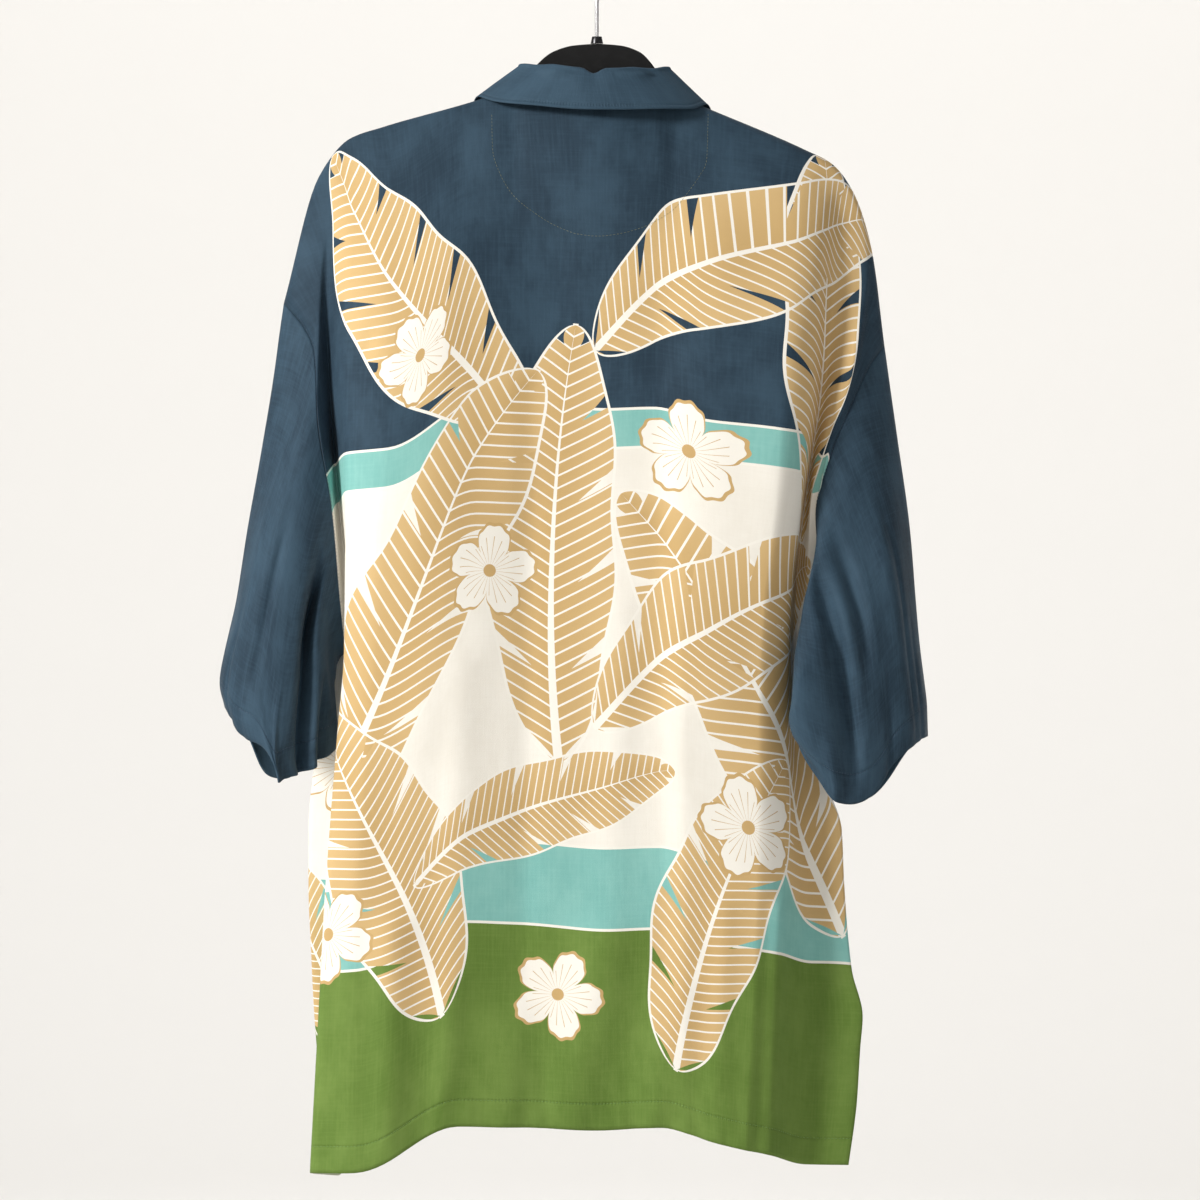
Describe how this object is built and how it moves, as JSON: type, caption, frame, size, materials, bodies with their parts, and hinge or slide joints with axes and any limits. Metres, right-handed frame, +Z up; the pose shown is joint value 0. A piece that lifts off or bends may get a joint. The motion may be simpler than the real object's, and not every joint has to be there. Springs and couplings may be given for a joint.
{
  "type": "hawaiian shirt on a hanger",
  "caption": "Short-sleeved open-collar shirt hanging on a slim flocked hanger with a wire hook, with its buttoned front, sleeves and hem open and hollow.",
  "frame": {"origin": "inside of the hook's top, where a rail carries the hanger", "axes": "+Z up, +Y out of the buttoned front, +X towards the wearer's right; the back faces -Y"},
  "size_m": [0.5873, 0.1741, 1.0244],
  "materials": {
    "back_cloth": "soft woven, printed",
    "front_cloth": "soft woven, printed",
    "navy_cloth": "soft woven, washed",
    "button": "satin",
    "flock": "velvet flock",
    "hook_metal": "polished"
  },
  "bodies": {
    "root": {"back": "back_cloth", "front_left": "front_cloth", "front_right": "front_cloth", "collar": "navy_cloth", "sleeve_left": "navy_cloth", "sleeve_right": "navy_cloth", "button_1": "button", "button_2": "button", "button_3": "button", "button_4": "button", "button_5": "button", "button_6": "button", "hanger_body": "flock", "hanger_ferrule": "hook_metal", "hanger_hook": "hook_metal"}
  },
  "joints": []
}
